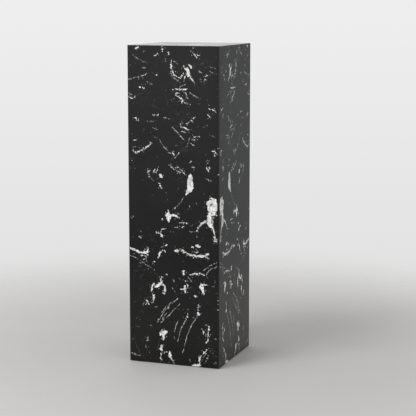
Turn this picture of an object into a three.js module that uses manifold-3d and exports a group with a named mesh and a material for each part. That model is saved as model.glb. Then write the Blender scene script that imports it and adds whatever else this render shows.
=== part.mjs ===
// Square display plinth: thin polished stone slabs butt-jointed round a plywood carcass,
// standing on four screw-adjusted levelling feet that are hidden in the hollow base.
//
// Frame: millimetres, +Z up. The origin is the centre of the base on the floor.
// The front face looks along -Y and the right face along +X.

import * as THREE from 'three';
import { mergeVertices } from 'three/addons/utils/BufferGeometryUtils.js';
import Module from 'manifold-3d';

// Whole object
const WIDTH = 300; // outside width and depth
const HEIGHT = 1000; // floor to top face
const GAP = 0.3; // glue line or clearance between neighbouring pieces
const OVERCUT = 1; // how far a cutting tool runs past the face that it opens

// Stone cladding
const SLAB = 6; // slab thickness
const ARRIS = 0.4; // small chamfer along every slab edge
const SHADOW_GAP = 2; // slabs stop this far above the floor

// Timber carcass
const WALL = 12; // plywood wall thickness
const BOARD = 18; // plywood top and base board thickness
const STICK = 24; // side of the square softwood posts and cleats
const WALL_FOOT = 4; // plywood walls stop this far above the floor
const BASE_UNDERSIDE = 24; // height of the base board's underside

// Levelling feet, M8
const FOOT_OFFSET = 100; // foot centre from the plinth's middle planes
const FOOT_TURNED = 24; // segments round the turned pieces
const STUD_RADIUS = 4;
const STUD_TOP = 58;
const EDGE = 1; // chamfer on the turned pads and studs
const SPANNER = 13; // across flats of the stud's collar and of the lock nut
const COLLAR = { bottom: 12.3, top: 16.3 };
const PAD = { radius: 19, rim: 5, boss: 9, top: 12, socket: 6.5, socketFloor: 4 };
const BALL = { radius: 6.2, bottom: 4.3, top: 9.5, edge: 2 };
const NUT_HEIGHT = 4;
const TEE = { flange: 11, plate: 1.5, barrel: 5, length: 10 };
const PRONG = { reach: 8.2, width: 3, thick: 1.2, length: 7 };

// Countersunk wood screws
const SCREW = { head: 4, headDepth: 3, shank: 2, tip: 6 };
const SCREW_TURNED = 16;
const RECESS = { wide: 3.6, thick: 0.9, deep: 1.8 };
const BASE_SCREW = { length: 35, spacing: 90 };
const TOP_SCREW_LENGTH = 45;

// Levels and half widths that follow from the sizes above
const half = WIDTH / 2;
const slabInner = half - SLAB;
const wallOuter = slabInner - GAP;
const wallInner = wallOuter - WALL;
const coreHalf = wallInner - GAP;
const stickInner = coreHalf - STICK;
const stickCentre = coreHalf - STICK / 2;
const slabTopUnderside = HEIGHT - SLAB;
const topBoardTop = slabTopUnderside - GAP;
const topBoardUnderside = topBoardTop - BOARD;
const carcassTop = topBoardUnderside - GAP;
const baseTop = BASE_UNDERSIDE + BOARD;
const stickFoot = baseTop + GAP;
const teeTop = BASE_UNDERSIDE - GAP;
const teeBottom = teeTop - TEE.plate;
const nutTop = teeBottom - GAP;
const nutBottom = nutTop - NUT_HEIGHT;

const wasm = await Module();
wasm.setup();

function finish(color, roughness, metalness = 0) {
  return () => new THREE.MeshStandardMaterial({ color, roughness, metalness });
}

const stone = finish(0x24242a, 0.25);
const plywood = finish(0xc9a878, 0.7);
const softwood = finish(0xd8bd8c, 0.75);
const steel = finish(0xb4b6b8, 0.35, 1);
const nylon = finish(0x1b1b1b, 0.6);

const plinth = new THREE.Group();

function add(name, geometry, material, place = [0, 0, 0], turn = [0, 0, 0]) {
  const mesh = new THREE.Mesh(geometry, material());
  mesh.name = name;
  mesh.position.set(...place);
  mesh.rotation.set(...turn);
  plinth.add(mesh);
}

// ---- Solids -------------------------------------------------------------------------

function toSolid(geometry) {
  const bare = geometry.clone();
  bare.deleteAttribute('normal');
  bare.deleteAttribute('uv');
  const merged = mergeVertices(bare, 1e-4);
  return new wasm.Manifold(new wasm.Mesh({
    numProp: 3,
    vertProperties: new Float32Array(merged.attributes.position.array),
    triVerts: new Uint32Array(merged.index.array),
  }));
}

function toGeometry(solid) {
  const mesh = solid.getMesh();
  const geometry = new THREE.BufferGeometry();
  geometry.setAttribute('position', new THREE.BufferAttribute(mesh.vertProperties, 3));
  geometry.setIndex(new THREE.BufferAttribute(mesh.triVerts, 1));
  return geometry;
}

function cut(body, tools) {
  const solid = tools.reduce((left, tool) => left.subtract(toSolid(tool)), toSolid(body));
  return toGeometry(solid);
}

function join(body, extras) {
  const solid = extras.reduce((left, extra) => left.add(toSolid(extra)), toSolid(body));
  return toGeometry(solid);
}

// The range between two values, the lower one first.
function span(a, b) {
  return [Math.min(a, b), Math.max(a, b)];
}

function block([x0, x1], [y0, y1], [z0, z1]) {
  const box = new THREE.BoxGeometry(x1 - x0, y1 - y0, z1 - z0);
  return box.translate((x0 + x1) / 2, (y0 + y1) / 2, (z0 + z1) / 2);
}

// A profile of [radius, z] points turned about Z.
function turned(profile, segments) {
  const points = profile.map(([radius, z]) => new THREE.Vector2(radius, z));
  return new THREE.LatheGeometry(points, segments).rotateX(Math.PI / 2);
}

function rod(radius, z0, z1, segments) {
  return turned([[0, z0], [radius, z0], [radius, z1], [0, z1]], segments);
}

function hexagon(acrossFlats, z0, z1) {
  return rod(acrossFlats / Math.sqrt(3), z0, z1, 6);
}

// ---- Stone cladding -----------------------------------------------------------------

// A flat slab with its lower left corner at the origin, its back on Z = 0 and an arris
// along all its edges.
function slab(width, height) {
  const outline = new THREE.Shape();
  outline.moveTo(ARRIS, ARRIS);
  outline.lineTo(width - ARRIS, ARRIS);
  outline.lineTo(width - ARRIS, height - ARRIS);
  outline.lineTo(ARRIS, height - ARRIS);
  outline.closePath();
  const geometry = new THREE.ExtrudeGeometry(outline, {
    depth: SLAB - 2 * ARRIS,
    bevelThickness: ARRIS,
    bevelSize: ARRIS,
    bevelSegments: 1,
  });
  return geometry.translate(0, 0, ARRIS);
}

// Each side slab starts flush with the corner on its left and stops against the back of
// the next one, whose edge shows as a narrow strip at the corner on its right.
function addSideSlabs() {
  const length = WIDTH - SLAB - GAP;
  ['front_slab', 'right_slab', 'back_slab', 'left_slab'].forEach((name, side) => {
    const upright = slab(length, HEIGHT - SHADOW_GAP).rotateX(Math.PI / 2);
    upright.translate(-half, SLAB - half, SHADOW_GAP);
    add(name, upright, stone, [0, 0, 0], [0, 0, (side * Math.PI) / 2]);
  });
}

// The top slab lies between the side slabs, flush with their upper edges.
function addTopSlab() {
  const side = 2 * wallOuter;
  add('top_slab', slab(side, side), stone, [-wallOuter, -wallOuter, slabTopUnderside]);
}

// ---- Timber carcass -----------------------------------------------------------------

// The front and back walls run the full width, and the side walls stand between them.
function addWalls() {
  const upright = [WALL_FOOT, carcassTop];
  [['core_front', -1], ['core_back', 1]].forEach(([name, side]) => {
    const across = span(wallInner * side, wallOuter * side);
    add(name, block([-wallOuter, wallOuter], across, upright), plywood);
  });
  [['core_left', -1], ['core_right', 1]].forEach(([name, side]) => {
    const across = span(wallInner * side, wallOuter * side);
    add(name, block(across, [-coreHalf, coreHalf], upright), plywood);
  });
}

// The hole round a screw's shank, from its head to just past its point. The direction
// is 1 for a screw that points up and -1 for one that points down.
function shankHole([x, y], zHead, length, direction) {
  const [bottom, top] = span(zHead, zHead + direction * (length + OVERCUT));
  return rod(SCREW.shank + GAP, bottom, top, SCREW_TURNED).translate(x, y, 0);
}

// The cone that a screw's countersunk head sinks into.
function countersink([x, y], zHead, direction) {
  const mouth = zHead - direction * OVERCUT;
  const throat = zHead + direction * SCREW.headDepth;
  const profile = [
    [0, mouth],
    [SCREW.head + GAP, mouth],
    [SCREW.head + GAP, zHead],
    [SCREW.shank + GAP, throat],
    [0, throat],
  ];
  const upward = direction > 0 ? profile : profile.reverse();
  return turned(upward, SCREW_TURNED).translate(x, y, 0);
}

const corners = [
  ['front_left', -1, -1],
  ['front_right', 1, -1],
  ['back_right', 1, 1],
  ['back_left', -1, 1],
];

// The middle of each wall: a unit vector towards it.
const walls = [
  ['front', 0, -1],
  ['right', 1, 0],
  ['back', 0, 1],
  ['left', -1, 0],
];

const topScrews = corners.map(([, x, y]) => [x * stickCentre, y * stickCentre]);

// Two screws per cleat, half the spacing either side of the wall's middle.
function cleatScrews([, x, y]) {
  return [-1, 1].map((side) => {
    const along = (side * BASE_SCREW.spacing) / 2;
    return [x * stickCentre + Math.abs(y) * along, y * stickCentre + Math.abs(x) * along];
  });
}

const baseScrews = walls.flatMap(cleatScrews);

function addPosts() {
  corners.forEach(([name, x, y], index) => {
    const xs = span(x * stickInner, x * coreHalf);
    const ys = span(y * stickInner, y * coreHalf);
    const post = block(xs, ys, [stickFoot, carcassTop]);
    const hole = shankHole(topScrews[index], topBoardTop, TOP_SCREW_LENGTH, -1);
    add(`post_${name}`, cut(post, [hole]), softwood);
  });
}

// Cleats run between the posts: a lower ring on the base board and an upper one under
// the top board.
function cleat([, x, y], heights) {
  const reach = stickInner - GAP;
  const xs = x === 0 ? [-reach, reach] : span(x * stickInner, x * coreHalf);
  const ys = y === 0 ? [-reach, reach] : span(y * stickInner, y * coreHalf);
  return block(xs, ys, heights);
}

function addCleats() {
  walls.forEach((wall) => {
    const holes = cleatScrews(wall).map((at) => {
      return shankHole(at, BASE_UNDERSIDE, BASE_SCREW.length, 1);
    });
    const lower = cleat(wall, [stickFoot, stickFoot + STICK]);
    add(`base_cleat_${wall[0]}`, cut(lower, holes), softwood);
    add(`top_cleat_${wall[0]}`, cleat(wall, [carcassTop - STICK, carcassTop]), softwood);
  });
}

function addTopBoard() {
  const width = [-wallOuter, wallOuter];
  const board = block(width, width, [topBoardUnderside, topBoardTop]);
  const holes = topScrews.flatMap((at) => [
    shankHole(at, topBoardTop, TOP_SCREW_LENGTH, -1),
    countersink(at, topBoardTop, -1),
  ]);
  add('core_top', cut(board, holes), plywood);
}

const feet = corners.map(([name, x, y]) => [name, x * FOOT_OFFSET, y * FOOT_OFFSET]);

// Four spikes at the quarter points of the tee nut's plate, or the slots that hold them.
function prongs(margin) {
  const width = PRONG.width + 2 * margin;
  const thick = PRONG.thick + 2 * margin;
  const top = teeTop + PRONG.length + margin;
  const bottom = teeTop - TEE.plate / 2;
  return [0, 1, 2, 3].map((quarter) => {
    const across = [PRONG.reach - thick / 2, PRONG.reach + thick / 2];
    const spike = block(across, [-width / 2, width / 2], [bottom, top]);
    return spike.rotateZ((quarter * Math.PI) / 2);
  });
}

function addBaseBoard() {
  const width = [-coreHalf, coreHalf];
  const board = block(width, width, [BASE_UNDERSIDE, baseTop]);
  const depth = [BASE_UNDERSIDE - OVERCUT, baseTop + OVERCUT];
  const barrelHole = rod(TEE.barrel + GAP, ...depth, FOOT_TURNED);
  const footHoles = feet.flatMap(([, x, y]) => {
    return [barrelHole, ...prongs(GAP)].map((hole) => hole.clone().translate(x, y, 0));
  });
  const screwHoles = baseScrews.flatMap((at) => [
    shankHole(at, BASE_UNDERSIDE, BASE_SCREW.length, 1),
    countersink(at, BASE_UNDERSIDE, 1),
  ]);
  add('base_board', cut(board, [...footHoles, ...screwHoles]), plywood);
}

// ---- Screws -------------------------------------------------------------------------

// A countersunk wood screw with a cross recess, head up at Z = 0 and point down.
function woodScrew(length) {
  const shaft = turned([
    [0, -length],
    [SCREW.shank, SCREW.tip - length],
    [SCREW.shank, -SCREW.headDepth],
    [SCREW.head, -GAP],
    [SCREW.head, 0],
    [0, 0],
  ], SCREW_TURNED);
  const wide = [-RECESS.wide / 2, RECESS.wide / 2];
  const thick = [-RECESS.thick / 2, RECESS.thick / 2];
  const deep = [-RECESS.deep, OVERCUT];
  return cut(shaft, [block(wide, thick, deep), block(thick, wide, deep)]);
}

function addScrews() {
  corners.forEach(([name], index) => {
    add(`top_screw_${name}`, woodScrew(TOP_SCREW_LENGTH), steel, [...topScrews[index], topBoardTop]);
  });
  walls.forEach((wall) => {
    cleatScrews(wall).forEach((at, index) => {
      const name = `base_screw_${wall[0]}_${index + 1}`;
      add(name, woodScrew(BASE_SCREW.length), steel, [...at, BASE_UNDERSIDE], [Math.PI, 0, 0]);
    });
  });
}

// ---- Levelling feet -----------------------------------------------------------------

// A round nylon pad with an open socket for the stud's ball end.
function footPad() {
  return turned([
    [0, 0],
    [PAD.radius - EDGE, 0],
    [PAD.radius, EDGE],
    [PAD.radius, PAD.rim],
    [PAD.boss, PAD.top - EDGE],
    [PAD.boss - EDGE, PAD.top],
    [PAD.socket, PAD.top],
    [PAD.socket, PAD.socketFloor],
    [0, PAD.socketFloor],
  ], FOOT_TURNED);
}

// An M8 stud: a flattened ball in the pad, a spanner collar, and a plain rod for the thread.
function stud() {
  const shaft = turned([
    [0, BALL.bottom],
    [BALL.radius - BALL.edge, BALL.bottom],
    [BALL.radius, BALL.bottom + BALL.edge],
    [BALL.radius, BALL.top - BALL.edge],
    [STUD_RADIUS, BALL.top],
    [STUD_RADIUS, STUD_TOP - EDGE],
    [STUD_RADIUS - EDGE, STUD_TOP],
    [0, STUD_TOP],
  ], FOOT_TURNED);
  return join(shaft, [hexagon(SPANNER, COLLAR.bottom, COLLAR.top)]);
}

// A thin hexagon nut, run up against the tee nut to lock the foot.
function lockNut() {
  const bore = rod(STUD_RADIUS + GAP, nutBottom - OVERCUT, nutTop + OVERCUT, FOOT_TURNED);
  return cut(hexagon(SPANNER, nutBottom, nutTop), [bore]);
}

// A pronged tee nut, driven into the base board from below.
function teeNut() {
  const sleeve = turned([
    [STUD_RADIUS + GAP, teeBottom],
    [TEE.flange, teeBottom],
    [TEE.flange, teeTop],
    [TEE.barrel, teeTop],
    [TEE.barrel, teeTop + TEE.length],
    [STUD_RADIUS + GAP, teeTop + TEE.length],
    [STUD_RADIUS + GAP, teeBottom],
  ], FOOT_TURNED);
  return join(sleeve, prongs(0));
}

function addFeet() {
  feet.forEach(([name, x, y]) => {
    add(`foot_pad_${name}`, footPad(), nylon, [x, y, 0]);
    add(`foot_stud_${name}`, stud(), steel, [x, y, 0]);
    add(`lock_nut_${name}`, lockNut(), steel, [x, y, 0]);
    add(`tee_nut_${name}`, teeNut(), steel, [x, y, 0]);
  });
}

addSideSlabs();
addTopSlab();
addWalls();
addPosts();
addCleats();
addTopBoard();
addBaseBoard();
addScrews();
addFeet();

export default plinth;
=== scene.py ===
"""Looks for a stone-clad display plinth that stands on four levelling feet hidden in its base."""
import math

import bpy
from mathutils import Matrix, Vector


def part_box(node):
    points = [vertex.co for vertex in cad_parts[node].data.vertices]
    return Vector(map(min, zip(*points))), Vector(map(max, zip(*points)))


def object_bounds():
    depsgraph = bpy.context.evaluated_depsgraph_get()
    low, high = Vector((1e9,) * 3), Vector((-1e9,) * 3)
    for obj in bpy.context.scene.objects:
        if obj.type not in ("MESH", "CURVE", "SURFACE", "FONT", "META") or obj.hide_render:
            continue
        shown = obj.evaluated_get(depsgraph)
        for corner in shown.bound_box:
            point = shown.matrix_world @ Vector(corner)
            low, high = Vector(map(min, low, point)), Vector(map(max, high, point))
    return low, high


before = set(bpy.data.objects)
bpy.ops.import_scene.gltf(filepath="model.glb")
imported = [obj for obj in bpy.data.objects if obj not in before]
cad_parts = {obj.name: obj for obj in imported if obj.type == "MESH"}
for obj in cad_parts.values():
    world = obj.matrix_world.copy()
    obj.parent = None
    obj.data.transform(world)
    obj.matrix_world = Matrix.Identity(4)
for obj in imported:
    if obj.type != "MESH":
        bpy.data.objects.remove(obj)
cad_low, cad_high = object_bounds()


def grey(level, tint=(1.0, 1.0, 1.0)):
    return tuple(level * part for part in tint) + (1.0,)


# ---------------------------------------------------------------- the plinth, in metres

MM = 0.001
HEIGHT = cad_high.z - cad_low.z
HALF = (cad_high.x - cad_low.x) / 2
CORNERS = ("front_left", "front_right", "back_right", "back_left")
SIDES = ("front", "right", "back", "left")

# ---------------------------------------------------------------- the stone's figure
#
# The same decor is on every side. The right and the left side mirror the front at its
# corners, the top mirrors it over the front edge, and the back has it upside down.
# u runs across a side from 0 to 300 and v up it from 0 to 1000, both in millimetres.
# A mark is (u, v) of its two ends, its width, how far its middle bends to the left of the
# way from the first end to the second, and how much it thickens towards the second end.

WHITE_MARKS = (
    # under the top edge
    (27, 989, 39, 997, 8), (88, 966, 100, 973, 5), (115, 998, 116, 982, 8), (136, 984, 136, 970, 7),
    (212, 985, 228, 962, 7, 0, 0.4), (226, 974, 234, 970, 5),
    # hook and wishbone
    (145, 952, 177, 897, 9, -14), (174, 899, 186, 918, 5), (184, 937, 195, 925, 9),
    (197, 940, 210, 927, 10, 5), (190, 930, 200, 925, 13), (197, 925, 202, 906, 15),
    (203, 906, 221, 884, 9, 0, -0.5), (190, 906, 186, 889, 5), (208, 920, 206, 908, 5),
    # dashes to the right and left of it
    (236, 922, 243, 917, 7), (254, 904, 263, 910, 8), (252, 898, 256, 895, 5),
    (38, 901, 63, 909, 6), (91, 908, 98, 907, 5), (38, 869, 55, 866, 6), (1, 839, 26, 838, 6, -6),
    # knot below the wishbone
    (158, 866, 195, 866, 8.5, -2), (148, 863, 153, 862, 5), (156, 851, 171, 852, 8),
    (158, 845, 184, 827, 9, 3), (183, 832, 178, 821, 9), (190, 855, 198, 837, 7),
    (184, 822, 205, 818, 6, 3), (264, 807, 297, 791, 6, 2, 0.5), (262, 790, 275, 775, 4),
    # dashes round the long needle
    (22, 771, 36, 764, 7), (97, 782, 103, 782, 5.5), (172, 756, 187, 761, 6),
    (192, 757, 211, 769, 6), (209, 776, 221, 777, 5), (174, 751, 204, 740, 8, -2),
    (176, 733, 190, 730, 5), (216, 718, 238, 719, 5), (208, 697, 220, 690, 5),
    (252, 754, 260, 753, 6),
    # boomerang, tick and cup
    (19, 701, 28, 701, 5), (77, 692, 26, 662, 8, 2), (26, 662, 15, 669, 8), (71, 697, 79, 692, 5),
    (134, 666, 142, 664, 6), (147, 670, 155, 650, 6), (155, 648, 168, 666, 5),
    (273, 674, 290, 671, 9, 3), (284, 667, 286, 660, 5), (291, 672, 294, 664, 5),
    (258, 636, 267, 642, 4), (257, 627, 266, 613, 5), (269, 627, 265, 612, 7),
    (204, 636, 209, 641, 6), (212, 623, 222, 623, 7), (138, 627, 152, 614, 4),
    (155, 613, 175, 605, 4), (156, 620, 166, 621, 5), (173, 617, 191, 599, 5),
    (64, 598, 73, 607, 8, 3), (82, 600, 88, 611, 6), (93, 601, 98, 618, 6),
    (109, 596, 110, 588, 15), (101, 569, 112, 551, 8, 0, -0.4), (258, 591, 262, 589, 5),
    (264, 587, 273, 583, 6),
    # hand that the diamond's tail ends in
    (133, 486, 133, 476, 9), (127, 471, 139, 463, 21), (132, 462, 134, 449, 13, 0, -0.4),
    (140, 468, 168, 463, 11, 5), (110, 457, 117, 455, 5), (170, 448, 198, 446, 7, 2),
    (154, 434, 165, 434, 6), (171, 432, 186, 437, 6), (124, 427, 110, 425, 7),
    (110, 428, 107, 412, 7), (90, 412, 105, 411, 7), (104, 411, 114, 401, 9),
    # large blotch at the right edge, with its legs
    (278, 518, 278, 491, 36), (270, 529, 291, 525, 11), (261, 513, 270, 515, 16),
    (269, 484, 268, 455, 19), (289, 487, 272, 474, 12), (264, 454, 277, 441, 17),
    (277, 467, 278, 445, 9), (258, 458, 243, 450, 12), (246, 453, 226, 425, 8, -2, -0.6),
    (279, 441, 284, 424, 9), (284, 427, 286, 403, 9), (282, 399, 294, 395, 8),
    (292, 403, 294, 396, 7), (279, 468, 285, 471, 4), (287, 473, 293, 478, 5),
    # band of bones
    (2, 360, 40, 348, 12, -2), (30, 349, 66, 351, 12, -3), (63, 350, 65, 364, 11),
    (35, 342, 62, 333, 6), (40, 337, 64, 341, 5), (47, 325, 58, 328, 5), (80, 320, 88, 319, 5),
    (99, 334, 112, 357, 9, 3), (110, 358, 125, 352, 8, 2), (123, 373, 129, 378, 7),
    (155, 360, 166, 359, 15), (171, 367, 205, 350, 10, -2), (195, 352, 258, 349, 10.5, -3),
    (255, 352, 265, 356, 11), (253, 348, 266, 343, 10.5), (222, 356, 231, 363, 5),
    (209, 373, 216, 374, 9), (224, 379, 237, 377, 12), (183, 298, 183, 286, 11),
    (205, 287, 234, 293, 9, 1), (230, 293, 257, 287, 8, 2),
    # hooks
    (74, 226, 80, 250, 9), (81, 252, 88, 242, 9), (86, 241, 111, 261, 13, -3),
    (104, 262, 110, 277, 8), (113, 252, 119, 222, 11, 4), (111, 225, 118, 220, 8),
    (83, 217, 82, 200, 11), (188, 270, 190, 264, 7), (187, 258, 187, 230, 10),
    (172, 240, 188, 240, 9), (197, 256, 197, 245, 5), (236, 251, 249, 250, 12),
    (242, 258, 249, 232, 15, 0, -0.5), (243, 260, 262, 259, 6), (218, 225, 223, 219, 6),
    # knots on the long thin sweeps
    (57, 200, 66, 184, 6), (55, 184, 60, 190, 6), (81, 200, 79, 187, 7), (127, 173, 135, 183, 5),
    (197, 165, 189, 142, 7), (232, 198, 231, 178, 7), (229, 170, 236, 164, 12),
    # foot of the side
    (255, 134, 262, 136, 5), (266, 132, 266, 118, 9), (265, 118, 263, 98, 7),
    (256, 105, 264, 103, 6), (265, 92, 257, 77, 9), (242, 122, 248, 104, 7, 2),
    (261, 59, 238, 34, 8), (257, 46, 247, 30, 5), (236, 35, 235, 10, 10), (212, 4, 238, 7, 12),
    (104, 92, 126, 103, 16), (115, 100, 114, 76, 13), (105, 102, 117, 111, 6), (62, 82, 61, 70, 7),
    (107, 58, 106, 42, 14), (108, 42, 104, 15, 6), (110, 35, 128, 39, 6), (104, 18, 108, 13, 7),
    (136, 40, 136, 22, 13), (138, 24, 150, 5, 5, 0, -0.4),
)
# The diamond and thin lines, in the same form. Their sides are smoother than the others'.
DIAMOND_MARKS = ((206, 600, 205, 550, 22, 0, 0.3), (203, 554, 192, 538, 14, 0, -0.5))
LINE_MARKS = (
    (145, 748, 190, 704, 7.4), (187, 533, 143, 484, 6.5, 3.9), (141, 198, 106, 151, 6.5),
    (154, 179, 118, 141, 6.9, 1), (118, 143, 104, 127, 6.9), (128, 165, 110, 140, 6.7),
    (172, 197, 155, 178, 6.6), (166, 143, 152, 103, 6.7, -2), (190, 145, 170, 105, 7.2, -1),
    (170, 105, 162, 72, 6.8), (229, 157, 198, 105, 7.1, -3), (198, 105, 186, 62, 7.0, -2),
    (185, 62, 178, 38, 6.6), (104, 708, 131, 673, 6.5, -3), (257, 287, 266, 306, 6.9),
    (266, 306, 293, 320, 7.0), (248, 302, 266, 317, 6.6), (266, 318, 294, 332, 6.6),
    (166, 212, 141, 192, 6.6), (124, 184, 108, 160, 6.4), (112, 158, 93, 128, 6.4),
    (3, 334, 36, 322, 6.3, 2), (36, 322, 76, 299, 6.4),
)
GREY_MARKS = (
    (3, 892, 40, 902, 7), (126, 958, 125, 948, 5), (115, 948, 120, 944, 4),
    (142, 918, 173, 888, 3, -5), (152, 954, 166, 942, 4), (236, 946, 242, 944, 5),
    (240, 899, 240, 890, 5), (270, 922, 292, 914, 5, -2), (50, 928, 64, 930, 6),
    (64, 886, 84, 876, 6), (2, 849, 14, 844, 5), (172, 872, 191, 881, 5), (183, 857, 188, 852, 6),
    (203, 855, 238, 837, 6), (264, 820, 271, 816, 5), (81, 781, 96, 781, 4.5),
    (118, 777, 139, 770, 5), (64, 761, 90, 763, 5), (211, 709, 222, 708, 4), (86, 714, 98, 708, 4),
    (12, 678, 25, 681, 5), (83, 742, 98, 737, 5), (68, 590, 84, 576, 4), (126, 540, 126, 535, 5),
    (10, 455, 16, 461, 5), (35, 398, 42, 391, 8), (144, 243, 153, 231, 5), (166, 275, 175, 269, 4),
    (286, 275, 286, 267, 5), (123, 284, 131, 282, 6), (51, 192, 44, 177, 4), (265, 40, 256, 20, 5),
    (203, 25, 204, 15, 6), (55, 56, 54, 47, 5), (70, 120, 77, 114, 5), (6, 26, 25, 19, 7),
    (100, 5, 114, 6, 4), (145, 270, 155, 261, 4),
)
FAINT_MARKS = (
    (53, 980, 63, 984, 8), (214, 994, 220, 990, 5), (272, 936, 294, 929, 4),
    (18, 969, 68, 945, 4, -3), (206, 718, 190, 676, 3), (268, 725, 286, 718, 5),
    (162, 479, 172, 473, 4), (140, 418, 152, 418, 3), (205, 438, 213, 444, 4),
    (225, 513, 227, 508, 5), (163, 545, 167, 556, 4), (225, 408, 235, 403, 4),
    (225, 423, 203, 422, 4), (32, 414, 44, 414, 3), (107, 368, 122, 372, 4),
    (286, 310, 291, 315, 4), (291, 322, 294, 334, 4), (195, 282, 211, 264, 3),
    (273, 256, 285, 257, 4), (202, 214, 208, 219, 5), (85, 178, 94, 177, 5), (93, 135, 101, 142, 4),
    (152, 90, 153, 80, 4), (197, 180, 193, 172, 4), (215, 160, 217, 150, 4), (290, 22, 291, 16, 5),
    (286, 95, 292, 92, 4), (25, 19, 39, 20, 4), (20, 140, 35, 133, 4), (20, 115, 32, 110, 4),
)
# Dark gaps inside the whites, in the same form.
DARK_MARKS = (
    (273, 525, 277, 524, 7), (281, 523, 285, 522, 7), (262, 514, 267, 513, 7.5),
    (270, 508, 277, 511, 9), (281, 508, 287, 504, 6.5), (265, 490, 268, 487, 7),
    (262, 471, 263, 463, 6), (275, 467, 276, 454, 7.5), (257, 457, 260, 456, 6.5),
    (283, 400, 287, 400, 6.5), (4, 357, 26, 351, 6), (35, 350, 44, 350, 6.5),
)
# The marks' frayed outlines carry part of their width, so their solid middles are narrower.
WIDEN = 1.10
BLUR = 6.0
THINNEST = 0.8
# The least half-width that a mark tapers to.
TIP = 0.5 * MM
MARK_EDGE = (-0.2 * MM, 0.4 * MM)
# The marks were placed for a view whose uprights are parallel. Those of this camera converge
# slightly, and raising the figure by this much at mid-height makes up for it.
FIGURE_LIFT = 8.0 * MM
# Heights of the flecks on the slabs' sawn and polished edges, in millimetres.
EDGE_FLECKS = (885, 692, 612, 243, 230, 219, 207, 189)
EDGE_FLECK_RANGE = (8.0 * MM, 6.5 * MM)
EDGE_WOBBLE = 14 * MM
# How far up each slab's edge flecks are moved, in metres.
EDGE_LIFTS = {"front": 0.37, "right": 0.0, "back": 0.71, "left": 0.19, "top": 0.53}
# A slab's face is where its normal points along the slab's outward axis by at least this.
FACING = 0.9

# How far the stone's noise bends the marks and moves their outlines, from side to side.
SWAY = 9.0 * MM
FRAY = 17.0 * MM
SWELL = 6.0 * MM
# The part of that movement that is left on the diamond's and the lines' outlines.
SMOOTHER = 0.4

# How strongly each kind of mark shows beside the whites.
DIAMOND_SHARE = 0.84
LINE_SHARE = 0.58
GREY_SHARE = 0.42
FAINT_SHARE = 0.25
SPRAY_SHARE = 0.75
HAIR_SHARE = 0.12
DASH_SHARE = 0.6
# How dark the gaps and cracks in the whites are.
GAP_SHARE = 0.92

# Random dashes: a cell's size, the longest dash's half-length, its half-width, the share of the
# cells that hold one, and where the pattern starts. The spray is the specks round the whites.
SPRAY = (6.5 * MM, 2.6 * MM, 1.3 * MM, 0.2, (0.71, 0.23, 0))
SPRAY_REACH = (-14 * MM, -4 * MM)
SMALL_DASHES = (9 * MM, 2.6 * MM, 0.9 * MM, 0.04, (0, 0, 0))
LARGE_DASHES = (17 * MM, 4.0 * MM, 1.2 * MM, 0.06, (0.37, 0.11, 0))
# Where a dash's outline starts and where the dash is full, as parts of its size.
DASH_EDGE = (1.2, 0.6)
# How crowded the stone is where dashes are weakest and strongest, and how strong they are there.
DASH_CROWD = (0.0, 0.6, 0.25, 1.0)

# A noise is its scale per metre, its detail, its roughness and its distortion. A range is the
# two noise values between which an effect rises from none to full. A line is how far the noise
# is from its middle where a vein starts and where it is full.
MIDDLE_RANGE = (0.3, 0.7)
WIDE_RANGE = (0.2, 0.8)
SWAY_NOISE = (130.0, 3.0, 0.6)
FRAY_NOISE = (210.0, 3.0, 0.7)
SWELL_NOISE = (85.0, 2.0, 0.5)
SHADE_NOISE = (60.0, 2.0)
CRACK_NOISE = (130.0, 2.0, 0.5, 0.8)
CRACK_LINE = (0.035, 0.012)
CRACK_RANGE = (0.44, 0.57)
CROWD_NOISE = (9.0, 1.0)
CROWD_RANGE = (0.55, 0.72)
HAIR_NOISE = (26.0, 3.0, 0.55, 1.2)
HAIR_LINE = (0.008, 0.002)
HAIR_RANGE = (0.42, 0.58)
SMOKE_NOISE = (14.0, 4.0, 0.6)
SMOKE_RANGE = (0.35, 0.7)
MILK_RANGE = (0.36, 0.6)
EDGE_NOISE = (240.0, 3.0, 0.6)
EDGE_SMOKE_SCALE = 40.0

STONE_BLACK = grey(0.001)
STONE_SMOKE = grey(0.003, (1.0, 1.0, 0.97))
STONE_MILK = grey(0.56, (1.0, 1.0, 0.985))
STONE_WHITE = grey(0.95, (1.0, 1.0, 0.99))
EDGE_BLACK = grey(0.002)
EDGE_SMOKE = grey(0.007)
EDGE_WHITE = grey(0.5)

# The polish: how its roughness varies, what a white mark adds to that, and its slight ripple.
HAZE_NOISE = (11.0, 4.0, 0.6)
HAZE_ROUGHNESS = (0.18, 0.24)
WHITE_ROUGHNESS = 0.06
RIPPLE_NOISE = (22.0, 2.0)
RIPPLE_HEIGHT = 0.05 * MM
POLISH_SPECULAR = 0.34

# ---------------------------------------------------------------- wood, steel and nylon

# Plies in a plywood board by its thickness in millimetres.
PLIES = {12: 9, 18: 13}
# The scale of the grain across and along the fibres.
PLY_ACROSS = 260.0
PLY_ALONG = 9.0
PLY_NOISE = (1.0, 4.0, 0.6)
PLY_GLUE_LINE = (0.46, 0.49)
BIRCH_FACE = ((0.42, 0.27, 0.145, 1), (0.66, 0.48, 0.30, 1))
BIRCH_END = ((0.24, 0.135, 0.065, 1), (0.40, 0.25, 0.13, 1))
BIRCH_GLUE = (0.07, 0.035, 0.02, 1)
PLY_ROUGHNESS = (0.62, 0.78)
PLY_RELIEF = 0.12 * MM

# Spruce: the width of a year ring, how it wanders, and the part of that wander that is left
# along the wood. Late wood darkens through a year and stops at once at its end.
YEAR_RING = 2.8 * MM
YEAR_SWAY = 5 * MM
YEAR_NOISE = (30.0, 2.0)
YEAR_STRETCH = 0.03
LATE_RISE = (0.35, 0.9)
LATE_FALL = (1.0, 0.95)
FIBRE_SCALE = 900.0
FIBRE_NOISE = (1.0, 3.0, 0.7)
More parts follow.
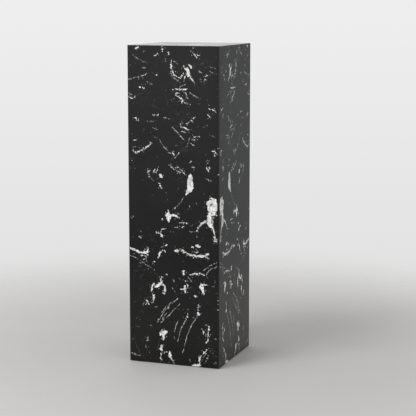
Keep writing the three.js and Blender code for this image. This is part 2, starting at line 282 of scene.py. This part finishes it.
# How far from a stick's corner the middle of its log lies.
PITH_SPREAD = 0.05
SPRUCE_EARLY = ((0.58, 0.42, 0.25, 1), (0.76, 0.60, 0.40, 1))
SPRUCE_LATE = (0.36, 0.20, 0.09, 1)
SPRUCE_ROUGHNESS = (0.6, 0.75)
SPRUCE_RELIEF = 0.08 * MM

ZINC_CLOUD = (120.0, 3.0, 0.6, 0.6)
ZINC_CLOUD_RANGE = (0.35, 0.65)
ZINC_GRAIN = (1500.0, 3.0, 0.7)
ZINC_BLUE = (0.56, 0.60, 0.66, 1)
ZINC_YELLOW = (0.68, 0.66, 0.56, 1)
ZINC_ROUGHNESS = (0.28, 0.46)
ZINC_RELIEF = 0.02 * MM
# The M8 thread on the feet's studs: its heights, where it runs in and where it runs out.
THREAD_PITCH = 1.25 * MM
THREAD_DEPTH = 0.6 * MM
THREAD_START = (17.0 * MM, 18.0 * MM)
THREAD_END = (57.5 * MM, 57.0 * MM)
# Where a thread's root and its crest begin, in pitches from the middle of the crest.
THREAD_FLANK = (0.45, 0.08)
# Painted shade in the thread's roots: away from the crests the zinc is darkened towards this grey
# by this share, and so is all of the stud off the thread.
THREAD_ROOT_SHADE = grey(0.08)
ROOT_SHADE_SHARE = 0.45

NYLON_PEBBLE = (2600.0, 2.0, 0.5)
NYLON_CLOUD = (90.0, 3.0)
NYLON_DARK = grey(0.022)
NYLON_LIGHT = grey(0.04)
NYLON_ROUGHNESS = (0.42, 0.6)
NYLON_RELIEF = 0.03 * MM

# Edges of turned metal and nylon that turn more than this stay sharp.
SHARP_ANGLE = math.radians(32)
WELD_DISTANCE = 0.001 * MM
ROUND_PIECES = ("top_screw", "base_screw", "tee_nut", "foot_stud", "foot_pad")

# ---------------------------------------------------------------- camera, floor and light

CAMERA_PLACE = Vector((1.464, -3.895, 1.145))
CAMERA_PAN = math.radians(-19.83)
CAMERA_PITCH = math.radians(9.1)
CAMERA_LENS = 113.9
CAMERA_SENSOR = 36.0
# The floor is round, and fades out between two distances from its middle.
FLOOR_RADIUS = 2.2
FLOOR_SIDES = 96
FLOOR_FADE = (0.5, 1.9)
FLOOR_CLOUD = (3.0, 4.0, 0.6)
FLOOR_DARK = grey(0.55, (1.0, 0.98, 0.955))
FLOOR_LIGHT = grey(0.60, (1.0, 0.985, 0.965))
FLOOR_ROUGHNESS = 0.6
FLOOR_SPECULAR = 0.05
KEY_PLACE = Vector((-1.9, -3.0, 3.0))
KEY_SIZE = 2.4
KEY_POWER = 92.0
# The room that lights the plinth and that its polish reflects, by height and by direction.
ROOM_RISE = (-0.24, -0.06)
ROOM_FRONT = (0.1, -0.6)
ROOM_FRONT_LOW = grey(0.34)
ROOM_FRONT_HIGH = grey(1.08)
ROOM_BACK_LOW = grey(0.72)
ROOM_BACK_HIGH = grey(1.12)
ROOM_SHADE_WAY = (0.40, 0.91, 0.0)
ROOM_SHADE_SPREAD = (0.84, 0.96)
ROOM_SHADE_LOW = grey(0.34, (0.97, 1.0, 0.985))
ROOM_SHADE_HIGH = grey(0.39, (0.97, 1.0, 0.985))
ROOM_CEILING = (0.15, 0.75)
ROOM_CEILING_COLOUR = grey(0.6)
# The backdrop that the camera sees in place of that room.
BACKDROP_RISE = (-0.3, 0.05)
BACKDROP_LOW = grey(0.74)
BACKDROP_HIGH = grey(0.86)

# ---------------------------------------------------------------- short names for node work


class Nodes:
    """Adds shader nodes to one tree. A value may be a number, a vector or another node's output."""

    def __init__(self, tree):
        self.tree = tree

    def add(self, kind, **settings):
        node = self.tree.nodes.new(kind)
        for name, value in settings.items():
            setattr(node, name, value)
        return node

    def feed(self, socket, value):
        if isinstance(value, bpy.types.NodeSocket):
            self.tree.links.new(value, socket)
        else:
            socket.default_value = value

    def math(self, operation, *values):
        node = self.add("ShaderNodeMath", operation=operation)
        for socket, value in zip(node.inputs, values):
            self.feed(socket, value)
        return node.outputs[0]

    def vector(self, operation, *values):
        node = self.add("ShaderNodeVectorMath", operation=operation)
        for socket, value in zip(node.inputs, values):
            self.feed(socket, value)
        return node.outputs["Value" if operation in ("DOT_PRODUCT", "LENGTH") else "Vector"]

    def noise(self, place, scale, detail=2.0, roughness=0.5, distortion=0.0, output=0):
        node = self.add("ShaderNodeTexNoise")
        self.feed(node.inputs["Vector"], place)
        self.feed(node.inputs["Scale"], scale)
        self.feed(node.inputs["Detail"], detail)
        self.feed(node.inputs["Roughness"], roughness)
        self.feed(node.inputs["Distortion"], distortion)
        return node.outputs[output]

    def smooth(self, value, low, high, to_low=0.0, to_high=1.0):
        node = self.add("ShaderNodeMapRange", interpolation_type="SMOOTHSTEP")
        for socket, entry in zip(node.inputs, (value, low, high, to_low, to_high)):
            self.feed(socket, entry)
        return node.outputs[0]

    def mix(self, factor, first, second):
        node = self.add("ShaderNodeMix", data_type="RGBA")
        self.feed(node.inputs["Factor"], factor)
        self.feed(node.inputs[6], first)
        self.feed(node.inputs[7], second)
        return node.outputs[2]

    def combine(self, x, y, z):
        node = self.add("ShaderNodeCombineXYZ")
        for socket, value in zip(node.inputs, (x, y, z)):
            self.feed(socket, value)
        return node.outputs[0]

    def separate(self, place):
        node = self.add("ShaderNodeSeparateXYZ")
        self.feed(node.inputs[0], place)
        return node.outputs

    def bump(self, height, distance):
        node = self.add("ShaderNodeBump")
        self.feed(node.inputs["Height"], height)
        self.feed(node.inputs["Distance"], distance)
        return node.outputs[0]

    def place(self):
        """Where the shaded point is, in the part's frame."""
        return self.add("ShaderNodeTexCoord").outputs["Object"]


def new_material(name):
    """A material with a Principled shader: the material, its nodes and the shader."""
    material = bpy.data.materials.new(name)
    material.use_nodes = True
    nodes = Nodes(material.node_tree)
    return material, nodes, material.node_tree.nodes["Principled BSDF"]


def new_group(name, inputs, outputs):
    """A node group: the group, its nodes, its input sockets and its output sockets."""
    group = bpy.data.node_groups.new(name, "ShaderNodeTree")
    for label, kind in inputs:
        group.interface.new_socket(label, in_out="INPUT", socket_type=kind)
    for label, kind in outputs:
        group.interface.new_socket(label, in_out="OUTPUT", socket_type=kind)
    nodes = Nodes(group)
    entry = nodes.add("NodeGroupInput").outputs
    leave = nodes.add("NodeGroupOutput").inputs
    return group, nodes, entry, leave


# ---------------------------------------------------------------- stone


def stroke_group():
    """One mark: how deep inside it a place lies, in metres, or what came in if that is more.

    Along and Across turn the place, whose third number is 1, into how far along the mark it
    lies, from -1 to 1, and how far to its left, in metres.
    """
    group, nodes, entry, leave = new_group(
        "stroke",
        (
            ("Place", "NodeSocketVector"),
            ("Along", "NodeSocketVector"),
            ("Across", "NodeSocketVector"),
            ("Bend", "NodeSocketFloat"),
            ("Half length", "NodeSocketFloat"),
            ("Half width", "NodeSocketFloat"),
            ("Taper", "NodeSocketFloat"),
            ("Best", "NodeSocketFloat"),
        ),
        (("Best", "NodeSocketFloat"),),
    )
    along = nodes.vector("DOT_PRODUCT", entry["Place"], entry["Along"])
    across = nodes.vector("DOT_PRODUCT", entry["Place"], entry["Across"])
    squared = nodes.math("MULTIPLY", along, along)
    fourth = nodes.math("MULTIPLY", squared, squared)
    off_line = nodes.math("ABSOLUTE", nodes.math("MULTIPLY_ADD", squared, entry["Bend"], across))
    thick = nodes.math("MULTIPLY_ADD", along, entry["Taper"], entry["Half width"])
    thick = nodes.math("MAXIMUM", thick, TIP)
    rounded = nodes.math("MULTIPLY", thick, nodes.math("SUBTRACT", 1.0, fourth))
    past_end = nodes.math("SUBTRACT", nodes.math("ABSOLUTE", along), 1.0)
    past_end = nodes.math("MULTIPLY", nodes.math("MAXIMUM", past_end, 0.0), entry["Half length"])
    inside = nodes.math("SUBTRACT", nodes.math("SUBTRACT", rounded, off_line), past_end)
    nodes.feed(leave["Best"], nodes.math("MAXIMUM", entry["Best"], inside))
    return group


def add_stroke(nodes, group, place, best, mark):
    """Adds one mark of the lists above to the best value so far."""
    u_start, v_start, u_end, v_end, width, bend, taper = (*mark, 0, 0)[:7]
    start = Vector((u_start, v_start)) * MM
    end = Vector((u_end, v_end)) * MM
    middle = (start + end) / 2
    way = (end - start).normalized()
    left = Vector((-way.y, way.x))
    half_width = max(width * WIDEN - BLUR, THINNEST) * MM / 2
    half_length = (end - start).length / 2 + half_width / 2
    node = nodes.add("ShaderNodeGroup", node_tree=group)
    nodes.feed(node.inputs["Place"], place)
    node.inputs["Along"].default_value = (*(way / half_length), -middle.dot(way) / half_length)
    node.inputs["Across"].default_value = (*left, -middle.dot(left) - bend * MM)
    node.inputs["Bend"].default_value = bend * MM
    node.inputs["Half length"].default_value = half_length
    node.inputs["Half width"].default_value = half_width
    node.inputs["Taper"].default_value = taper * half_width
    nodes.feed(node.inputs["Best"], best)
    return node.outputs["Best"]


def marks_cover(nodes, group, place, ragged, marks):
    """How far the marks cover a place, from 0 to 1, and how deep inside them it lies."""
    best = -1.0
    for mark in marks:
        best = add_stroke(nodes, group, place, best, mark)
    return nodes.smooth(nodes.math("ADD", best, ragged), *MARK_EDGE), best


def add_dashes(nodes, place, cell, reach, thickness, share, offset):
    """Small random dashes, one in some of the cells of a Voronoi pattern, from 0 to 1."""
    moved = nodes.vector("ADD", place, offset)
    cells = nodes.add("ShaderNodeTexVoronoi", voronoi_dimensions="2D")
    nodes.feed(cells.inputs["Vector"], moved)
    nodes.feed(cells.inputs["Scale"], 1 / cell)
    centre = nodes.vector("SUBTRACT", moved, cells.outputs["Position"])
    pick = nodes.separate(cells.outputs["Color"])
    turn = nodes.add("ShaderNodeVectorRotate", rotation_type="Z_AXIS")
    nodes.feed(turn.inputs["Vector"], centre)
    nodes.feed(turn.inputs["Angle"], nodes.math("MULTIPLY", pick[0], 2 * math.pi))
    along, across, _ = nodes.separate(turn.outputs[0])
    long_way = nodes.math("DIVIDE", along, nodes.math("MULTIPLY", pick[1], reach))
    wide_way = nodes.math("DIVIDE", across, thickness)
    far = nodes.math("ADD", nodes.math("ABSOLUTE", long_way), nodes.math("ABSOLUTE", wide_way))
    cover = nodes.smooth(far, *DASH_EDGE)
    chosen = nodes.math("LESS_THAN", pick[2], share)
    return nodes.math("MULTIPLY", cover, chosen)


def bend_about(nodes, place):
    """Shifts a place a little, so that what is drawn there wanders."""
    wander = nodes.noise(place, *SWAY_NOISE, output="Color")
    shift = nodes.vector("MULTIPLY_ADD", wander, (SWAY, SWAY, 0), (-SWAY / 2, -SWAY / 2, 0))
    return nodes.vector("ADD", place, shift)


def fray_outline(nodes, place, fine):
    """How far a mark's outline lies outside its stroke, in metres."""
    swell = nodes.noise(place, *SWELL_NOISE)
    frayed = nodes.math("MULTIPLY_ADD", fine, FRAY, -FRAY / 2)
    return nodes.math("ADD", frayed, nodes.math("MULTIPLY_ADD", swell, SWELL, -SWELL / 2))


def draw_veins(nodes, noise, line):
    """Thin lines where a noise passes its middle value, from 0 to 1."""
    gap = nodes.math("ABSOLUTE", nodes.math("SUBTRACT", noise, 0.5))
    return nodes.smooth(gap, *line)


def break_whites(nodes, stroke, bent, ragged, shade, white):
    """The whites without the cracks and gaps that run through them."""
    cracks = draw_veins(nodes, nodes.noise(bent, *CRACK_NOISE), CRACK_LINE)
    cracks = nodes.math("MULTIPLY", cracks, nodes.smooth(shade, *CRACK_RANGE))
    gaps, _ = marks_cover(nodes, stroke, bent, ragged, DARK_MARKS)
    broken = nodes.math("MULTIPLY", nodes.math("MAXIMUM", cracks, gaps), GAP_SHARE)
    return nodes.math("MULTIPLY", white, nodes.math("SUBTRACT", 1.0, broken))


def scatter(nodes, place, bent, fine):
    """Hairlines and small dashes all over, thicker in some places than in others."""
    crowd = nodes.smooth(nodes.noise(place, *CROWD_NOISE), *CROWD_RANGE)
    hairs = draw_veins(nodes, nodes.noise(bent, *HAIR_NOISE), HAIR_LINE)
    hairs = nodes.math("MULTIPLY", hairs, crowd)
    hairs = nodes.math("MULTIPLY", hairs, nodes.smooth(fine, *HAIR_RANGE))
    small = add_dashes(nodes, bent, *SMALL_DASHES)
    large = add_dashes(nodes, bent, *LARGE_DASHES)
    dashes = nodes.math("MAXIMUM", small, large)
    return hairs, nodes.math("MULTIPLY", dashes, nodes.smooth(crowd, *DASH_CROWD))


def colour_stone(nodes, bent, shade, cover):
    """Uneven milky white where the marks cover the stone, and smoky black elsewhere."""
    smoke = nodes.smooth(nodes.noise(bent, *SMOKE_NOISE), *SMOKE_RANGE)
    ground = nodes.mix(smoke, STONE_BLACK, STONE_SMOKE)
    milk = nodes.mix(nodes.smooth(shade, *MILK_RANGE), STONE_MILK, STONE_WHITE)
    return nodes.mix(cover, ground, milk)


def decor_group():
    """Black stone with white marks. Place is (u, v, 1) in metres."""
    group, nodes, entry, leave = new_group(
        "marble decor",
        (("Place", "NodeSocketVector"),),
        (("Colour", "NodeSocketColor"), ("White", "NodeSocketFloat")),
    )
    stroke = stroke_group()
    place = entry["Place"]
    bent = bend_about(nodes, place)
    fine = nodes.noise(place, *FRAY_NOISE)
    shade = nodes.noise(place, *SHADE_NOISE)
    ragged = fray_outline(nodes, place, fine)
    smoother = nodes.math("MULTIPLY", ragged, SMOOTHER)

    white, depth = marks_cover(nodes, stroke, bent, ragged, WHITE_MARKS)
    cover = break_whites(nodes, stroke, bent, ragged, shade, white)
    diamond, _ = marks_cover(nodes, stroke, bent, smoother, DIAMOND_MARKS)
    lines, _ = marks_cover(nodes, stroke, bent, smoother, LINE_MARKS)
    greys, _ = marks_cover(nodes, stroke, bent, ragged, GREY_MARKS)
    faint, _ = marks_cover(nodes, stroke, bent, ragged, FAINT_MARKS)
    specks = add_dashes(nodes, place, *SPRAY)
    spray = nodes.math("MULTIPLY", specks, nodes.smooth(depth, *SPRAY_REACH))
    hairs, dashes = scatter(nodes, place, bent, fine)
    layers = (
        (diamond, DIAMOND_SHARE),
        (lines, LINE_SHARE),
        (greys, GREY_SHARE),
        (faint, FAINT_SHARE),
        (spray, SPRAY_SHARE),
        (hairs, HAIR_SHARE),
        (dashes, DASH_SHARE),
    )
    for layer, share in layers:
        cover = nodes.math("MAXIMUM", cover, nodes.math("MULTIPLY", layer, share))
    nodes.feed(leave["Colour"], colour_stone(nodes, bent, shade, cover))
    nodes.feed(leave["White"], cover)
    return group


def edge_group():
    """The stone on the slabs' narrow edges: almost black, with a few flecks by height."""
    group, nodes, entry, leave = new_group(
        "slab edge",
        (("Place", "NodeSocketVector"), ("Lift", "NodeSocketFloat")),
        (("Colour", "NodeSocketColor"),),
    )
    place = entry["Place"]
    lifted = nodes.math("ADD", nodes.separate(place)[2], entry["Lift"])
    height = nodes.math("FLOORED_MODULO", lifted, HEIGHT)
    nearest = 1.0
    for level in EDGE_FLECKS:
        away = nodes.math("ABSOLUTE", nodes.math("SUBTRACT", height, level * MM))
        nearest = nodes.math("MINIMUM", nearest, away)
    wobble = nodes.noise(place, *EDGE_NOISE)
    nearest = nodes.math("MULTIPLY_ADD", wobble, EDGE_WOBBLE, nearest)
    fleck = nodes.smooth(nearest, *EDGE_FLECK_RANGE)
    ground = nodes.mix(nodes.noise(place, EDGE_SMOKE_SCALE), EDGE_BLACK, EDGE_SMOKE)
    nodes.feed(leave["Colour"], nodes.mix(fleck, ground, EDGE_WHITE))
    return group


def polish(nodes, shader, place, white):
    """A semi-gloss polish with a polishing head's slight unevenness, a little duller on white."""
    haze = nodes.smooth(nodes.noise(place, *HAZE_NOISE), *MIDDLE_RANGE, *HAZE_ROUGHNESS)
    roughness = nodes.math("MULTIPLY_ADD", white, WHITE_ROUGHNESS, haze)
    nodes.feed(shader.inputs["Roughness"], roughness)
    ripple = nodes.noise(place, *RIPPLE_NOISE)
    nodes.feed(shader.inputs["Normal"], nodes.bump(ripple, RIPPLE_HEIGHT))
    shader.inputs["Specular IOR Level"].default_value = POLISH_SPECULAR


def stone(name, decor, edge, across, up, outward, lift):
    """Stone for one slab. across and up give u and v: a direction and the value at the origin."""
    material, nodes, shader = new_material(name)
    place = nodes.place()
    u = nodes.math("ADD", nodes.vector("DOT_PRODUCT", place, across[0]), across[1])
    v = nodes.math("ADD", nodes.vector("DOT_PRODUCT", place, up[0]), up[1])
    part = nodes.math("DIVIDE", v, HEIGHT)
    bulge = nodes.math("MULTIPLY", part, nodes.math("SUBTRACT", 1.0, part))
    v = nodes.math("MULTIPLY_ADD", bulge, -4 * FIGURE_LIFT, v)
    figure = nodes.add("ShaderNodeGroup", node_tree=decor)
    nodes.feed(figure.inputs["Place"], nodes.combine(u, v, 1.0))
    rim = nodes.add("ShaderNodeGroup", node_tree=edge)
    nodes.feed(rim.inputs["Place"], place)
    rim.inputs["Lift"].default_value = lift
    normal = nodes.add("ShaderNodeNewGeometry").outputs["True Normal"]
    facing = nodes.math("ABSOLUTE", nodes.vector("DOT_PRODUCT", normal, outward))
    on_face = nodes.math("GREATER_THAN", facing, FACING)
    colour = nodes.mix(on_face, rim.outputs["Colour"], figure.outputs["Colour"])
    nodes.feed(shader.inputs["Base Color"], colour)
    polish(nodes, shader, place, figure.outputs["White"])
    return material


def stone_for_slabs():
    """One stone material for each slab, all sharing one figure that wraps round the plinth."""
    decor = decor_group()
    edge = edge_group()
    upright = ((0, 0, 1), -cad_low.z)
    ways = {
        "front": (((1, 0, 0), HALF), upright, (0, 1, 0)),
        "right": (((0, -1, 0), HALF), upright, (1, 0, 0)),
        "back": (((1, 0, 0), HALF), ((0, 0, -1), HEIGHT), (0, 1, 0)),
        "left": (((0, 1, 0), HALF), upright, (1, 0, 0)),
        "top": (((1, 0, 0), HALF), ((0, -1, 0), HEIGHT - HALF), (0, 0, 1)),
    }
    return {
        f"{side}_slab": stone(f"stone_{side}", decor, edge, *way, EDGE_LIFTS[side])
        for side, way in ways.items()
    }


# ---------------------------------------------------------------- wood, steel and nylon


def plywood(name, depth_axis, low, high):
    """Birch plywood with its plies across depth_axis between low and high, and thin face plies."""
    plies = PLIES[round((high - low) / MM)]
    ply = (high - low) / (plies - 1)
    grain_axis = 0 if depth_axis == 2 else 2
    stretch = [PLY_ACROSS] * 3
    stretch[grain_axis] = PLY_ALONG
    turned = [PLY_ALONG] * 3
    turned[grain_axis] = PLY_ACROSS
    turned[depth_axis] = PLY_ACROSS
    material, nodes, shader = new_material(name)
    place = nodes.place()
    depth = nodes.math("SUBTRACT", nodes.separate(place)[depth_axis], low - ply / 2)
    layer = nodes.math("DIVIDE", depth, ply)
    odd = nodes.math("FLOORED_MODULO", nodes.math("FLOOR", layer), 2.0)
    along = nodes.noise(nodes.vector("MULTIPLY", place, tuple(stretch)), *PLY_NOISE)
    cross = nodes.noise(nodes.vector("MULTIPLY", place, tuple(turned)), *PLY_NOISE)
    grain = nodes.mix(odd, along, cross)
    figure = nodes.smooth(grain, *MIDDLE_RANGE)
    colour = nodes.mix(odd, nodes.mix(figure, *BIRCH_FACE), nodes.mix(figure, *BIRCH_END))
    seam = nodes.math("ABSOLUTE", nodes.math("SUBTRACT", nodes.math("FRACT", layer), 0.5))
    glue = nodes.smooth(seam, *PLY_GLUE_LINE)
    nodes.feed(shader.inputs["Base Color"], nodes.mix(glue, colour, BIRCH_GLUE))
    nodes.feed(shader.inputs["Roughness"], nodes.smooth(grain, *WIDE_RANGE, *PLY_ROUGHNESS))
    nodes.feed(shader.inputs["Normal"], nodes.bump(grain, PLY_RELIEF))
    return material


def softwood(name, long_axis, pith):
    """Planed spruce. Its year rings lie round a line along long_axis through pith."""
    material, nodes, shader = new_material(name)
    place = nodes.place()
    flat = [1.0, 1.0, 1.0]
    flat[long_axis] = YEAR_STRETCH
    drawn = nodes.vector("MULTIPLY", nodes.vector("SUBTRACT", place, pith), tuple(flat))
    wander = nodes.noise(drawn, *YEAR_NOISE, output="Color")
    moved = nodes.vector("MULTIPLY_ADD", wander, (YEAR_SWAY,) * 3, drawn)
    turns = nodes.math("DIVIDE", nodes.vector("LENGTH", moved), YEAR_RING)
    year = nodes.math("FRACT", turns)
    late = nodes.math("MULTIPLY", nodes.smooth(year, *LATE_RISE), nodes.smooth(year, *LATE_FALL))
    fibre = nodes.noise(nodes.vector("MULTIPLY", drawn, (FIBRE_SCALE,) * 3), *FIBRE_NOISE)
    pale = nodes.mix(fibre, *SPRUCE_EARLY)
    nodes.feed(shader.inputs["Base Color"], nodes.mix(late, pale, SPRUCE_LATE))
    nodes.feed(shader.inputs["Roughness"], nodes.smooth(fibre, *WIDE_RANGE, *SPRUCE_ROUGHNESS))
    nodes.feed(shader.inputs["Normal"], nodes.bump(nodes.math("ADD", late, fibre), SPRUCE_RELIEF))
    return material


def thread_ridge(nodes, place, corner):
    """The rolled thread on a stud, from 0 in its root to 1 at its crest, and 0 off the thread."""
    low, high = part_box(f"foot_stud_{corner}")
    axis = ((low[0] + high[0]) / 2, (low[1] + high[1]) / 2, 0)
    x, y, z = nodes.separate(nodes.vector("SUBTRACT", place, axis))
    turns = nodes.math("DIVIDE", nodes.math("ARCTAN2", y, x), 2 * math.pi)
    pitches = nodes.math("DIVIDE", z, THREAD_PITCH)
    helix = nodes.math("FRACT", nodes.math("SUBTRACT", pitches, turns))
    off_crest = nodes.math("ABSOLUTE", nodes.math("SUBTRACT", helix, 0.5))
    ridge = nodes.smooth(off_crest, *THREAD_FLANK)
    reach = nodes.math("MULTIPLY", nodes.smooth(z, *THREAD_START), nodes.smooth(z, *THREAD_END))
    return nodes.math("MULTIPLY", ridge, reach)


def zinc_steel(name, corner=None):
    """Bright zinc plating with a faint yellow and blue cast, threaded if it is a stud's, with
    painted shade in the thread's roots.
    """
    material, nodes, shader = new_material(name)
    place = nodes.place()
    cloud = nodes.noise(place, *ZINC_CLOUD)
    grain = nodes.noise(place, *ZINC_GRAIN)
    colour = nodes.mix(nodes.smooth(cloud, *ZINC_CLOUD_RANGE), ZINC_BLUE, ZINC_YELLOW)
    relief = nodes.math("MULTIPLY", grain, ZINC_RELIEF)
    if corner:
        ridge = thread_ridge(nodes, place, corner)
        relief = nodes.math("MULTIPLY_ADD", ridge, THREAD_DEPTH, relief)
        # Painted shade: darker in the thread's roots and over the stud off the thread, clean zinc
        # only on the crests.
        colour = nodes.mix(ridge, nodes.mix(ROOT_SHADE_SHARE, colour, THREAD_ROOT_SHADE), colour)
    nodes.feed(shader.inputs["Base Color"], colour)
    nodes.feed(shader.inputs["Roughness"], nodes.smooth(grain, *MIDDLE_RANGE, *ZINC_ROUGHNESS))
    nodes.feed(shader.inputs["Normal"], nodes.bump(relief, 1.0))
    shader.inputs["Metallic"].default_value = 1.0
    return material


def nylon(name):
    """Grey-black moulded nylon with a fine spark-eroded texture."""
    material, nodes, shader = new_material(name)
    place = nodes.place()
    pebble = nodes.noise(place, *NYLON_PEBBLE)
    cloud = nodes.noise(place, *NYLON_CLOUD)
    nodes.feed(shader.inputs["Base Color"], nodes.mix(cloud, NYLON_DARK, NYLON_LIGHT))
    nodes.feed(shader.inputs["Roughness"], nodes.smooth(pebble, *MIDDLE_RANGE, *NYLON_ROUGHNESS))
    nodes.feed(shader.inputs["Normal"], nodes.bump(pebble, NYLON_RELIEF))
    return material


def paint(node, material):
    """Gives a CAD node its material, on the object and not on its mesh."""
    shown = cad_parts[node]
    for slot in shown.material_slots:
        slot.link = "OBJECT"
        slot.material = material


def paint_boards():
    """Plywood for the four walls, the top board and the base board."""
    boards = {f"core_{side}": 1 - number % 2 for number, side in enumerate(SIDES)}
    boards.update({"core_top": 2, "base_board": 2})
    for node, axis in boards.items():
        low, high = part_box(node)
        paint(node, plywood(f"plywood_{node}", axis, low[axis], high[axis]))


def paint_sticks():
    """Spruce for posts and cleats, each sawn from a different place in the log."""
    for number, corner in enumerate(CORNERS):
        node = f"post_{corner}"
        away = Vector((PITH_SPREAD * math.cos(number), PITH_SPREAD * math.sin(number), 0))
        paint(node, softwood(f"spruce_{node}", 2, Vector(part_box(node)[0]) + away))
    for number, side in enumerate(SIDES):
        axis = number % 2
        for level in ("base", "top"):
            node = f"{level}_cleat_{side}"
            pith = Vector(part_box(node)[0])
            pith[1 - axis] += PITH_SPREAD * math.cos(number + 1)
            pith.z -= PITH_SPREAD
            paint(node, softwood(f"spruce_{node}", axis, pith))


def rounding():
    """A modifier's node tree that shades round surfaces smoothly and keeps sharp edges sharp."""
    tree = bpy.data.node_groups.new("rounding", "GeometryNodeTree")
    tree.interface.new_socket("Geometry", in_out="INPUT", socket_type="NodeSocketGeometry")
    tree.interface.new_socket("Geometry", in_out="OUTPUT", socket_type="NodeSocketGeometry")
    nodes = Nodes(tree)
    flow = nodes.add("NodeGroupInput").outputs[0]
    bare = nodes.add("GeometryNodeRemoveAttribute")
    nodes.feed(bare.inputs["Geometry"], flow)
    bare.inputs["Name"].default_value = "custom_normal"
    joined = nodes.add("GeometryNodeMergeByDistance")
    nodes.feed(joined.inputs["Geometry"], bare.outputs[0])
    joined.inputs["Distance"].default_value = WELD_DISTANCE
    round_faces = nodes.add("GeometryNodeSetShadeSmooth", domain="FACE")
    nodes.feed(round_faces.inputs["Geometry"], joined.outputs[0])
    angle = nodes.add("GeometryNodeInputMeshEdgeAngle").outputs["Unsigned Angle"]
    sharp_edges = nodes.add("GeometryNodeSetShadeSmooth", domain="EDGE")
    nodes.feed(sharp_edges.inputs["Geometry"], round_faces.outputs[0])
    nodes.feed(sharp_edges.inputs["Selection"], nodes.math("GREATER_THAN", angle, SHARP_ANGLE))
    sharp_edges.inputs["Shade Smooth"].default_value = False
    nodes.feed(nodes.add("NodeGroupOutput").inputs[0], sharp_edges.outputs[0])
    return tree


def paint_hardware():
    """Zinc plating for everything of steel, nylon for the pads, and round shading."""
    steel = zinc_steel("zinc_steel")
    for corner in CORNERS:
        for kind in ("top_screw", "tee_nut", "lock_nut"):
            paint(f"{kind}_{corner}", steel)
        paint(f"foot_stud_{corner}", zinc_steel(f"zinc_steel_thread_{corner}", corner))
        paint(f"foot_pad_{corner}", nylon(f"nylon_{corner}"))
    for side in SIDES:
        for number in (1, 2):
            paint(f"base_screw_{side}_{number}", steel)
    tree = rounding()
    for node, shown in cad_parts.items():
        if node.startswith(ROUND_PIECES):
            shown.modifiers.new("rounding", "NODES").node_group = tree


# ---------------------------------------------------------------- camera, floor and light


def aim(item, place, target):
    item.location = place
    item.rotation_euler = (target - place).to_track_quat("-Z", "Y").to_euler()


def add_camera():
    data = bpy.data.cameras.new("camera")
    data.lens = CAMERA_LENS
    data.sensor_width = CAMERA_SENSOR
    camera = bpy.data.objects.new("camera", data)
    bpy.context.scene.collection.objects.link(camera)
    flat = math.cos(CAMERA_PITCH)
    right = math.sin(CAMERA_PAN) * flat
    ahead = math.cos(CAMERA_PAN) * flat
    aim(camera, CAMERA_PLACE, CAMERA_PLACE + Vector((right, ahead, -math.sin(CAMERA_PITCH))))
    bpy.context.scene.camera = camera


def add_floor():
    """A pale round floor that fades into the backdrop."""
    turns = [2 * math.pi * step / FLOOR_SIDES for step in range(FLOOR_SIDES)]
    rim = [(FLOOR_RADIUS * math.cos(turn), FLOOR_RADIUS * math.sin(turn), 0.0) for turn in turns]
    mesh = bpy.data.meshes.new("floor")
    mesh.from_pydata(rim, [], [tuple(range(FLOOR_SIDES))])
    floor = bpy.data.objects.new("floor", mesh)
    bpy.context.scene.collection.objects.link(floor)
    material, nodes, shader = new_material("floor")
    place = nodes.place()
    cloud = nodes.noise(place, *FLOOR_CLOUD)
    nodes.feed(shader.inputs["Base Color"], nodes.mix(cloud, FLOOR_DARK, FLOOR_LIGHT))
    shader.inputs["Roughness"].default_value = FLOOR_ROUGHNESS
    shader.inputs["Specular IOR Level"].default_value = FLOOR_SPECULAR
    away = nodes.vector("LENGTH", place)
    clear = nodes.add("ShaderNodeBsdfTransparent")
    blend = nodes.add("ShaderNodeMixShader")
    nodes.feed(blend.inputs[0], nodes.smooth(away, *FLOOR_FADE))
    nodes.feed(blend.inputs[1], shader.outputs[0])
    nodes.feed(blend.inputs[2], clear.outputs[0])
    nodes.feed(material.node_tree.nodes["Material Output"].inputs["Surface"], blend.outputs[0])
    mesh.materials.append(material)


def add_key():
    """A large soft lamp in front on the left."""
    data = bpy.data.lights.new("key", "AREA")
    data.shape = "DISK"
    data.size = KEY_SIZE
    data.energy = KEY_POWER
    key = bpy.data.objects.new("key", data)
    bpy.context.scene.collection.objects.link(key)
    aim(key, KEY_PLACE, Vector((0, 0, HEIGHT / 2)))


def add_room():
    """A pale room that is dimmer low in front and in one narrow way, behind a plain backdrop."""
    world = bpy.data.worlds.new("room")
    bpy.context.scene.world = world
    world.use_nodes = True
    nodes = Nodes(world.node_tree)
    way = nodes.add("ShaderNodeTexCoord").outputs["Generated"]
    _, depth, height = nodes.separate(way)
    rise = nodes.smooth(height, *ROOM_RISE)
    in_front = nodes.smooth(depth, *ROOM_FRONT)
    low = nodes.mix(in_front, ROOM_BACK_LOW, ROOM_FRONT_LOW)
    lit = nodes.mix(rise, low, nodes.mix(in_front, ROOM_BACK_HIGH, ROOM_FRONT_HIGH))
    shaded = nodes.smooth(nodes.vector("DOT_PRODUCT", way, ROOM_SHADE_WAY), *ROOM_SHADE_SPREAD)
    walls = nodes.mix(shaded, lit, nodes.mix(rise, ROOM_SHADE_LOW, ROOM_SHADE_HIGH))
    room = nodes.mix(nodes.smooth(height, *ROOM_CEILING), walls, ROOM_CEILING_COLOUR)
    backdrop = nodes.mix(nodes.smooth(height, *BACKDROP_RISE), BACKDROP_LOW, BACKDROP_HIGH)
    seen = nodes.add("ShaderNodeLightPath").outputs["Is Camera Ray"]
    background = world.node_tree.nodes["Background"]
    nodes.feed(background.inputs["Color"], nodes.mix(seen, room, backdrop))


add_camera()
for slab, material in stone_for_slabs().items():
    paint(slab, material)
paint_boards()
paint_sticks()
paint_hardware()
add_floor()
add_key()
add_room()
bpy.context.scene.view_settings.view_transform = "Standard"
